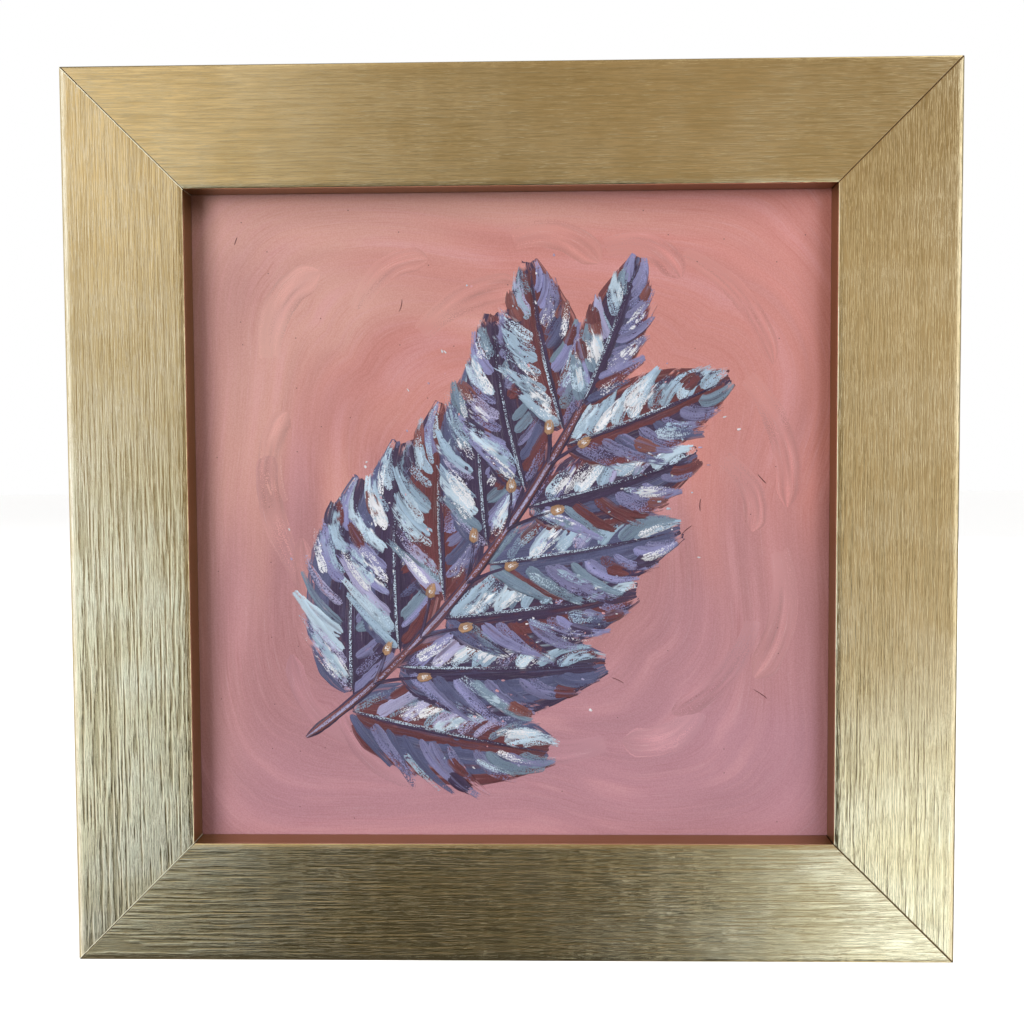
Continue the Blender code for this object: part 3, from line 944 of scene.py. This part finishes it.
def paint_loose_strokes():
    """Thin strokes that follow the ground's sweep, outside the motif's middle."""
    loose = Strokes("ground_strokes", wet_paint, 4)
    chance = loose.chance
    for number in range(LOOSE_STROKES):
        angle = 2 * math.pi * (number + chance.uniform(-0.3, 0.3)) / LOOSE_STROKES
        heading, radius = np.array([math.cos(angle), math.sin(angle)]), chance.uniform(44, 64)
        middle = heading * radius * (1 + 0.12 * math.sin(2 * angle) ** 2)
        sweep = turned(heading, 90 + chance.uniform(-16, 16)) * chance.uniform(8, 16)
        guides = (middle - sweep - 0.06 * middle, middle + 0.05 * middle, middle + sweep - 0.06 * middle)
        tint = (PEACH, PALE_PINK, ROSE, MAUVE)[chance.integers(4)]
        near = wet_paint.tint(middle * MM)
        loose.brush(guides, chance.uniform(4, 8), 0.9 * near + 0.1 * np.array(tint), 0.02, 0.6, 0.3)
    loose.finish()


paint_loose_strokes()

# %% [markdown]
# ## A leafy sprig
#
# The picture is a sprig with broad leaves, set on the slant. Each leaf is painted as a
# painter would: a dark coat along the blade, side strokes from the rib outwards in cool
# tints on the lit half and deeper ones on the other, brown-red dabs at the margin, then
# pale paint dragged nearly dry over the top.

# %% Leaves, stem and buds
VIOLET, OXBLOOD = linear(66, 52, 78), linear(106, 60, 64)
SLATE, PERIWINKLE = linear(92, 94, 126), linear(130, 128, 164)
LAVENDER, LILAC = linear(146, 145, 186), linear(176, 172, 204)
AQUA, TEAL_GREY = linear(168, 190, 209), linear(124, 142, 160)
WHITE, PALE_BLUE = linear(236, 236, 240), linear(198, 216, 230)
OCHRE, RUSSET = linear(178, 140, 108), linear(128, 80, 78)
LIT_TINTS = (AQUA, LILAC, PALE_BLUE, LAVENDER, AQUA, TEAL_GREY)
SHADED_TINTS = (LAVENDER, PERIWINKLE, SLATE, TEAL_GREY, PERIWINKLE, OXBLOOD)
STEM = np.array([(-47.0, -50.0), (-11.0, -25.0), (16.0, 25.0)])     # guide points in millimetres
FLECKS, HAIRS = 130, 9


def stem_at(t):
    """Place and heading on the stem's quadratic curve."""
    first, middle, last = STEM
    place = (1 - t) ** 2 * first + 2 * t * (1 - t) * middle + t ** 2 * last
    heading = (1 - t) * (middle - first) + t * (last - middle)
    return place, heading / np.linalg.norm(heading)


def leaf_blade(root, heading, length, width, bend):
    """A function that gives places in a leaf: t from root to tip, q from -1 to 1 across."""
    tip = root + length * turned(heading, bend)
    belly = root + 0.5 * length * heading
    side = turned((tip - root) / length, 90)

    def blade(t, q):
        rib = (1 - t) ** 2 * root + 2 * t * (1 - t) * belly + t ** 2 * tip
        return rib + side * q * width / 2 * math.sin(math.pi * min(1, t * 0.93 + 0.05)) ** 0.8

    return blade


def paint_leaf(strokes, blade, leaf_width):
    """The coats of one leaf, from the dark one to the dry white one."""
    chance = strokes.chance

    def pick(tints):
        return tints[chance.integers(len(tints))]

    for q in (-0.8, 0.78, -0.5, 0.48, -0.2, 0.18):
        guides = (blade(0.04, 0.3 * q), blade(0.5, 1.2 * q), blade(0.98, 0.2 * q))
        strokes.brush(guides, 0.32 * leaf_width, pick((VIOLET, SLATE, VIOLET, OXBLOOD)), 0.09, 0.05)
    for half, tints in ((1, LIT_TINTS), (-1, SHADED_TINTS)):
        for t in np.linspace(0.82, 0.06, 11):
            t = t + chance.uniform(-0.03, 0.03)
            end = blade(min(0.99, t + chance.uniform(0.18, 0.28)), half * chance.uniform(0.75, 1.0))
            guides = (blade(t, 0.1 * half), blade(t + 0.08, 0.6 * half), end)
            load, dry = chance.uniform(0.07, 0.17), chance.uniform(0.2, 0.8)
            strokes.brush(guides, chance.uniform(1.7, 3.3), pick(tints), load, dry)
    for t in chance.uniform(0.15, 0.85, 4):
        half, q = pick((-1, 1)), chance.uniform(0.3, 0.6)
        guides = (blade(t, q * half), blade(t + 0.05, (q + 0.15) * half), blade(t + 0.11, (q + 0.3) * half))
        strokes.brush(guides, chance.uniform(2.0, 3.4), pick((OXBLOOD, RUSSET, OXBLOOD, VIOLET)), 0.12, 0.35)
    for t in chance.uniform(0.05, 0.78, 12):
        half, q = pick((1, 1, 1, -1)), chance.uniform(0.05, 0.45)
        guides = (blade(t, q * half), blade(t + 0.1, (q + 0.25) * half), blade(t + 0.2, (q + 0.45) * half))
        width, dry = chance.uniform(1.4, 3.2), chance.uniform(0.6, 0.95)
        strokes.brush(guides, width, pick((WHITE, PALE_BLUE, WHITE, AQUA)), 0.07, dry)
    strokes.brush((blade(0.02, 0.0), blade(0.5, 0.0), blade(0.97, 0.0)), 1.1, VIOLET, 0.10, 0.45, 0.7)
    strokes.brush((blade(0.04, 0.05), blade(0.5, 0.07), blade(0.9, 0.03)), 0.7, PALE_BLUE, 0.10, 0.75, 0.7)


def paint_sprig():
    """Leaves in pairs from the foot up, the end leaf, then the stem and its buds."""
    for part, share in (("low", (0.14, 0.30)), ("middle", (0.46, 0.62)), ("high", (0.77, 0.92))):
        leaves = Strokes(f"sprig_leaves_{part}", wet_paint, 5 + len(part))
        for t in share:
            place, heading = stem_at(t)
            for half in (1, -1):
                angle = half * (60 - 14 * t + leaves.chance.uniform(-5, 5))
                length = (49 - 10 * t ** 2) * leaves.chance.uniform(0.95, 1.05)
                start, width = place + heading * 1.5 * half, 0.54 * length
                blade = leaf_blade(start, turned(heading, angle), length, width, -half * 9)
                paint_leaf(leaves, blade, width)
        if part == "high":
            place, heading = stem_at(1.0)
            paint_leaf(leaves, leaf_blade(place - heading, heading, 37, 17, 7), 17)
        leaves.finish()

    stem = Strokes("sprig_stem", wet_paint, 6)
    for tint, width, dry in ((VIOLET, 2.4, 0.1), (RUSSET, 1.6, 0.35), (LILAC, 0.8, 0.6)):
        for low, high in ((0.0, 0.36), (0.34, 0.70), (0.68, 1.0)):
            first, last, middle = stem_at(low)[0], stem_at(high)[0], stem_at((low + high) / 2)[0]
            guides = (first, 2 * middle - (first + last) / 2, last)
            stem.brush(guides, width, tint, 0.16, dry, 0.2)
    for t in (0.22, 0.38, 0.55, 0.70, 0.86):
        place, heading = stem_at(t)
        for half in (1, -1):
            way = turned(heading, half * stem.chance.uniform(24, 36))
            end = place + way * stem.chance.uniform(8, 12)
            stem.brush((place, place + way * 4 + heading, end), 0.8, VIOLET, 0.12, 0.3, 0.2)
            stem.brush((end - way, end + way, end + 2.4 * way), 2.2, OCHRE, 0.2, 0.3)
            stem.brush((end, end + way, end + 1.8 * way), 1.1, WHITE, 0.1, 0.7)
    stem.finish()


def paint_flecks():
    """Flecks of pale paint thrown off by the brush near the leaves, and hairs that it shed."""
    flecks = Strokes("flecks_and_hairs", wet_paint, 9)
    chance = flecks.chance
    for number in range(FLECKS):
        place, heading = stem_at(chance.uniform(0.1, 1.0))
        way = turned(heading, (-1) ** number * chance.uniform(30, 85))
        middle = place + way * chance.normal(31, 6)
        drag = way * chance.uniform(0.15, 0.5)
        tint = (WHITE, PALE_BLUE, PALE_PINK, LILAC)[chance.integers(4)]
        flecks.brush((middle - drag, middle, middle + drag), chance.uniform(0.25, 0.6), tint, 0.07, 0.2)
    for _ in range(HAIRS):
        middle = chance.uniform(-66, 66, 2)
        way = turned(np.array([0.0, 1.0]), chance.uniform(-70, 70)) * chance.uniform(0.8, 1.9)
        bend = middle + turned(way, 90) * chance.uniform(-0.3, 0.3)
        flecks.brush((middle - way, bend, middle + way), 0.16, linear(120, 74, 76), 0.05, 0.0, 0.3)
    flecks.finish()


paint_sprig()
paint_flecks()

# %% [markdown]
# ## Steel, zinc and rubber on the back
#
# The back has the hardware. Framer's points are soft steel strips with fine drawing marks,
# the hanger is zinc plated, so it has cloudy crystals, and the bumpers are cast clear
# rubber. Their shapes repeat the solids' sizes with round edges that catch the light.

# %% Finishes of the hardware


def metal_finish(name, light, dark, grain, roughness):
    """A plated metal: crystals of two greys, fine marks, and duller spots."""
    finish = new_finish(name)
    place = finish.place()
    crystals = finish.noise(place, (grain, grain, grain), 2.0, 0.5, 1.2)
    marks = finish.noise(place, (0.12 * MM, 0.12 * MM, 2.2 * MM), 1.0)
    colour = finish.mix(opaque(*light), opaque(*dark), finish.step(crystals, 0.35, 0.65))
    finish.sets(base_color=colour, metallic=1.0, roughness=roughness + crystals * 0.16)
    finish.sets(normal=finish.bump(marks * 0.6 + crystals * 0.4, 0.012 * MM))
    return finish.owner


def rubber_finish():
    """Clear rubber, a little milky, with dust pressed into its skin."""
    finish = new_finish("clear_rubber")
    dust = finish.noise(finish.place(), (0.5 * MM, 0.5 * MM, 0.5 * MM), 3.0, 0.7)
    milky = finish.mix(opaque(226, 228, 224), opaque(176, 172, 162), finish.step(dust, 0.56, 0.74))
    finish.sets(base_color=milky, roughness=0.24 + dust * 0.2, transmission_weight=0.55)
    finish.sets(normal=finish.bump(dust, 0.02 * MM))
    return finish.owner


STEEL = metal_finish("bright_steel", (188, 190, 192), (150, 152, 155), 1.6 * MM, 0.26)
ZINC = metal_finish("zinc_plate", (196, 200, 204), (156, 160, 166), 2.8 * MM, 0.30)
RUBBER = rubber_finish()

# %% [markdown]
# ## Nails and bumpers
#
# Both are turned shapes: a profile of radius and height, swept round an axis that points
# out of the back. Their sizes are those of the solids' boxes.

# %% Turned pieces
SIDES = 48


def add_turned(name, profile, foot, material):
    """A profile of radius and height behind the foot, swept round an axis along Y."""
    angle = np.linspace(0, 2 * math.pi, SIDES, endpoint=False)[None, :]
    radius, height = profile[:, :1], profile[:, 1:]
    points = np.stack([radius * np.cos(angle), height + 0 * angle, radius * np.sin(angle)], -1)
    piece = add_mesh(name, points.reshape(-1, 3) + np.array(foot), tube_faces(len(profile), SIDES), material)
    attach(piece, "root")
    return piece


def dome(radius, skirt, height, steps=12):
    """Profile of a dome on a short upright skirt, from its foot to its crown."""
    angle = np.radians(np.linspace(0, 88, steps))
    crown = np.stack([radius * np.cos(angle), skirt + (height - skirt) * np.sin(angle)], 1)
    return np.concatenate([[[0.9 * radius, 0.0], [0.98 * radius, 0.05 * height]], crown])


for side in ("left", "right"):
    low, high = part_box(f"wall_bumper_{side}")
    foot = ((low.x + high.x) / 2, low.y, (low.z + high.z) / 2)
    profile = dome((high.x - low.x) / 2, 0.6 * MM, high.y - low.y, 16)
    bumper = add_turned(f"bumper_{side}", profile, foot, RUBBER)
    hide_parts(f"wall_bumper_{side}")

    low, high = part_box(f"hanger_nail_{side}")
    head, shank, crown = (high.x - low.x) / 2, 0.6 * MM, 0.8 * MM
    foot = ((low.x + high.x) / 2, low.y, (low.z + high.z) / 2)
    drop = high.y - low.y - crown
    pin = np.array([[0.05 * MM, 0.0], [shank, 2 * MM], [shank, drop]])
    cap = dome(head, 0.3 * MM, crown) + np.array([0.0, drop])
    nail = add_turned(f"nail_{side}", np.concatenate([pin, cap]), foot, STEEL)
    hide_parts(f"hanger_nail_{side}")
print("bumpers and nails: 4 turned pieces of", SIDES, "sides")

# %% [markdown]
# ## Pressed strips
#
# The hanger, the framer's points and the wedges in the mitres are strips. A strip is a flat
# section with eased corners carried along a line, where the section may change on its way:
# the hanger's lower edge runs up and down through its teeth, and a point's end is round.

# %% Strips
EASE = 0.12 * MM


def flat_loop(low, high, thickness):
    """Closed sections with eased corners: across runs from low to high, up is the thickness."""
    half = thickness / 2
    low, high = low[:, None], high[:, None]
    ease = np.minimum(EASE, (high - low) / 4)
    across = [low, low + ease, high - ease, high, high, high - ease, low + ease, low]
    up = [-half + EASE, -half, -half, -half + EASE, half - EASE, half, half, half - EASE]
    return np.concatenate(across, 1), np.array(up)[None, :] + 0 * low


def hanger_strip():
    """Bow and teeth of the sawtooth strip, from the sizes of its solid."""
    low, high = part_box("sawtooth_hanger")
    pitch, depth, thickness = 2.5 * MM, 2.0 * MM, 0.8 * MM
    toothed, bow = 15 * MM, high.y - low.y - thickness
    x = np.linspace(low.x, high.x, 361)
    phase = np.abs((x / pitch) % 1 - 0.5) * 2
    tooth = -depth * (1 - smooth_step(0.04, 0.96, phase))
    lower = np.where(np.abs(x) < toothed, tooth, -depth)
    corner = 1.5 * MM
    inside = np.clip(high.x - np.abs(x), 0, corner) / corner
    curve = corner * (1 - np.sqrt(1 - (1 - inside) ** 2))
    across, up = flat_loop(lower + curve, high.z - curve, thickness)
    lift = bow * np.cos(math.pi / 2 * np.clip(x / toothed, -1, 1)) ** 2
    y = low.y + thickness / 2 + lift[:, None] + up
    points = np.stack([x[:, None] + 0 * across, y, across], -1)
    piece = add_mesh("hanger_strip", points.reshape(-1, 3), tube_faces(*across.shape), ZINC, 30)
    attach(piece, "root")
    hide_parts("sawtooth_hanger")


def point_strip(name, outward):
    """A framer's point: a round end over the board, and a tip driven into the rail."""
    low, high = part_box(name)
    across = np.array([outward[2], 0.0, -outward[0]])
    middle = (np.array(low) + np.array(high)) / 2
    half_length = abs(np.dot(np.array(high) - np.array(low), outward)) / 2
    half_width = abs(np.dot(np.array(high) - np.array(low), across)) / 2
    thickness = high.y - low.y
    turn = np.linspace(0.06, 1, 14) * math.pi / 2
    end = np.stack([-half_length + half_width * (1 - np.cos(turn)), half_width * np.sin(turn)], 1)
    tip = 2.4 * MM
    driven = np.array([[half_length - tip, half_width], [half_length, 0.1 * half_width]])
    outline = np.concatenate([end, driven])
    width, up = flat_loop(-outline[:, 1], outline[:, 1], thickness)
    rib = 0.22 * MM * np.exp(-((outline[:, :1] + 0.35 * half_length) / (1.1 * MM)) ** 2)
    rise = up + rib * (up > 0) * np.exp(-(width / (1.6 * MM)) ** 2)
    points = middle + outline[:, 0][:, None, None] * outward + width[..., None] * across
    points[..., 1] += rise
    piece = add_mesh(name + "_strip", points.reshape(-1, 3), tube_faces(*width.shape), STEEL, 30)
    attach(piece, "root")
    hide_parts(name)


def corner_wedges():
    """Pressed steel V-nails across the back of each mitre, as one piece of trim."""
    parts = []
    for right in (-1, 1):
        for up in (-1, 1):
            for distance in (8.5 * MM, 16 * MM):
                diagonal = np.array([right, up]) / math.sqrt(2)
                side = np.array([-diagonal[1], diagonal[0]])
                corner = np.array([SIGHT_HALF_WIDTH + distance, SIGHT_HALF_HEIGHT + distance]) * (right, up)
                reach = np.linspace(-1, 1, 9)
                bent = corner + np.outer(reach * 3.4 * MM, side)
                bent = bent - np.outer(np.abs(reach) * 2.4 * MM, diagonal)
                width, depth = flat_loop(0 * reach - 0.25 * MM, 0 * reach + 0.25 * MM, 1.2 * MM)
                flat = bent[:, None, :] + width[..., None] * diagonal
                y = BACK_Y - 0.5 * MM + depth
                points = np.stack([flat[..., 0], y, flat[..., 1] + CENTRE_Z], -1)
                parts.append((points.reshape(-1, 3), tube_faces(*width.shape)))
    piece = add_mesh("corner_wedges", *join_parts(parts), STEEL, 30)
    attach(piece, "root")
    print("corner wedges:", len(parts))


hanger_strip()
for side in ("top", "bottom", "left", "right"):
    for number in (1, 2):
        point_strip(f"framers_point_{side}_{number}", RAIL_SIDES[side + "_rail"][0])
corner_wedges()

# %% [markdown]
# ## The floor, the light and the camera
#
# The stage is plain: a pale floor and soft light. The camera stands where the photograph
# was taken, which the corners of the frame give: 273 mm in front, turned about 3 degrees.

# %% Camera
PHOTO_SIDE = 1024
FOCAL_PIXELS = 1247.0
CAMERA_DISTANCE = 273.48 * MM
CAMERA_SHIFT = Vector((-0.36 * MM, -1.58 * MM, 0.0))
TILT, SWING, ROLL = (math.radians(angle) for angle in (2.873, -1.36, 0.31))


def add_camera():
    """The frame's turn seen by the camera is undone, so that the camera turns instead."""
    turn = Matrix.Rotation(ROLL, 3, "Z") @ Matrix.Rotation(TILT, 3, "X") @ Matrix.Rotation(SWING, 3, "Y")
    to_world = Matrix(((1, 0, 0), (0, 0, -1), (0, 1, 0)))
    view = to_world @ turn.transposed()
    camera = bpy.data.objects.new("camera", bpy.data.cameras.new("camera"))
    camera.data.sensor_width = 36.0
    camera.data.lens = FOCAL_PIXELS / PHOTO_SIDE * camera.data.sensor_width
    camera.data.clip_start = 10 * MM
    stand = Vector(FACE_MIDDLE) + view @ (Vector((0.0, 0.0, CAMERA_DISTANCE)) - CAMERA_SHIFT)
    camera.matrix_world = Matrix.Translation(stand) @ view.to_4x4()
    bpy.context.scene.collection.objects.link(camera)
    bpy.context.scene.camera = camera
    return camera


camera = add_camera()
print("camera at", [round(1000 * c, 1) for c in camera.location], "mm")

# %% [markdown]
# ## The room that the foil reflects
#
# A metal foil has no colour of its own apart from what it mirrors, so the room matters more
# than the lamps. The room is a map of soft windows by direction: azimuth is measured from
# straight in front of the frame towards its right side, elevation from the level upwards.
# A warm glow stands at the upper left, cold daylight at both lower corners, and between
# them the room behind the camera is darker. The map for the front gives way to another one
# for the sides, so that the frame also looks like metal when the view goes round it.

# %% Room and lights
ROOM_BASE = (0.068, 0.066, 0.056)
ANYWHERE = (-999, 999)
ROOM_GLOWS = [
    # azimuth and its softness, elevation and its softness, colour added
    ("warm ceiling", ANYWHERE, 1, (8, 999), 8, (0.295, 0.228, 0.146)),
    ("ceiling on the right", (1, 12), 5, (8, 999), 8, (0.095, 0.07, 0.048)),
    ("wall behind the camera", (-14, 5), 6, (-9, 8), 7, (0.22, 0.172, 0.114)),
    ("warm wall on the right", (7, 60), 8, (-13, 9), 8, (0.515, 0.44, 0.345)),
    ("lamp at the upper left", (-60, -12), 12, (-1, 999), 8, (0.63, 0.59, 0.505)),
    ("window at the lower left", (-60, -17), 4, (-19, -1.5), 8, (1.10, 1.38, 1.76)),
    ("window at the lower right", (12.3, 60), 1, (-40, -13), 7, (1.57, 1.86, 2.2)),
]
SIDE_GLOWS = [
    ("far walls", ANYWHERE, 1, ANYWHERE, 1, (0.26, 0.25, 0.23)),
    ("screen on the left", (-56, 0), 8, (-30, 32), 30, (1.2, 1.4, 1.95)),
    ("wall on the left", (-150, -56), 8, (-30, 32), 30, (0.50, 0.48, 0.44)),
    ("screen on the right", (24, 56), 8, (-30, 32), 30, (1.25, 1.3, 1.4)),
    ("lamp behind on the right", (105, 165), 40, (-5, 60), 40, (0.55, 0.54, 0.52)),
    ("lamp above on the right", (24, 95), 8, (36, 75), 12, (1.6, 1.55, 1.4)),
    ("table on the right", (24, 95), 8, (-80, -42), 12, (1.5, 1.55, 1.5)),
]
SIDES_FROM, SIDES_ONLY = 25, 40     # degrees from straight in front
DIFFUSE_SHARE = 0.14                # of the room's light that paint and wood receive


def build_room():
    """Camera rays see plain white, and every other ray sees the glows of its direction."""
    world = bpy.data.worlds.new("room")
    bpy.context.scene.world = world
    room = Finish(world, "Background")
    direction = room.node("ShaderNodeTexCoord", output="Generated")
    x, y, z = (room.node("ShaderNodeSeparateXYZ", None, {0: direction}, axis) for axis in range(3))
    to_degrees = 180 / math.pi
    azimuth = x.maths("ARCTAN2", x, y * -1) * to_degrees
    elevation = z.maths("ARCSINE", z) * to_degrees

    def window(angle, limits, softness):
        half = softness / 2
        rise = room.step(angle, limits[0] - half, limits[0] + half)
        return rise * (1 - room.step(angle, limits[1] - half, limits[1] + half))

    def lit_by(colour, glows):
        for _, across, across_soft, level, level_soft, glow in glows:
            share = window(azimuth, across, across_soft) * window(elevation, level, level_soft)
            colour = room.mix(colour, (*glow, 1.0), share, "ADD")
        return colour

    front, sides = lit_by((*ROOM_BASE, 1.0), ROOM_GLOWS), lit_by((0.0, 0.0, 0.0, 1.0), SIDE_GLOWS)
    turned_away = azimuth.maths("ABSOLUTE", azimuth)
    colour = room.mix(front, sides, room.step(turned_away, SIDES_FROM, SIDES_ONLY))
    seen = room.node("ShaderNodeLightPath", None, None, "Is Camera Ray")
    diffuse = room.node("ShaderNodeLightPath", None, None, "Is Diffuse Ray")
    room.sets(color=room.mix(colour, (1.0, 1.0, 1.0, 1.0), seen))
    room.sets(strength=1 - diffuse * (1 - DIFFUSE_SHARE))


def add_lamp(name, place, aim, size, watts, colour):
    """A square soft light that paint and wood see and that metal doesn't mirror."""
    data = bpy.data.lights.new(name, "AREA")
    data.shape, data.size, data.energy, data.color = "SQUARE", size, watts, colour
    lamp = bpy.data.objects.new(name, data)
    lamp.location = place
    lamp.rotation_euler = (Vector(aim) - Vector(place)).to_track_quat("-Z", "Y").to_euler()
    lamp.visible_glossy = False
    bpy.context.scene.collection.objects.link(lamp)


build_room()
add_lamp("key", (-0.64, -0.98, 0.04), FACE_MIDDLE, 0.52, 9.2, (1.0, 0.99, 0.98))
add_lamp("fill", (0.62, -0.9, 0.60), FACE_MIDDLE, 0.7, 7.0, (0.95, 0.97, 1.0))
add_lamp("back", (0.45, 1.1, 0.4), FACE_MIDDLE, 0.5, 10.0, (1.0, 0.99, 0.97))


def add_floor():
    """A pale sheet that carries the frame, nearly as bright as the background."""
    finish = new_finish("floor")
    finish.sets(base_color=(0.9, 0.9, 0.9, 1.0), roughness=0.8)
    finish.sets(emission_color=(1.0, 1.0, 1.0, 1.0), emission_strength=0.8)
    half = 3.0
    level = cad_low.z
    corners = [(-half, -half, level), (half, -half, level), (half, half, level), (-half, half, level)]
    floor = add_mesh("floor", np.array(corners), [[0, 1, 2, 3]], finish.owner, closed=False)
    floor.visible_glossy = floor.visible_diffuse = False


add_floor()
bpy.context.scene.view_settings.view_transform = "Standard"
print("glows:", len(ROOM_GLOWS), "in front,", len(SIDE_GLOWS), "at the sides")
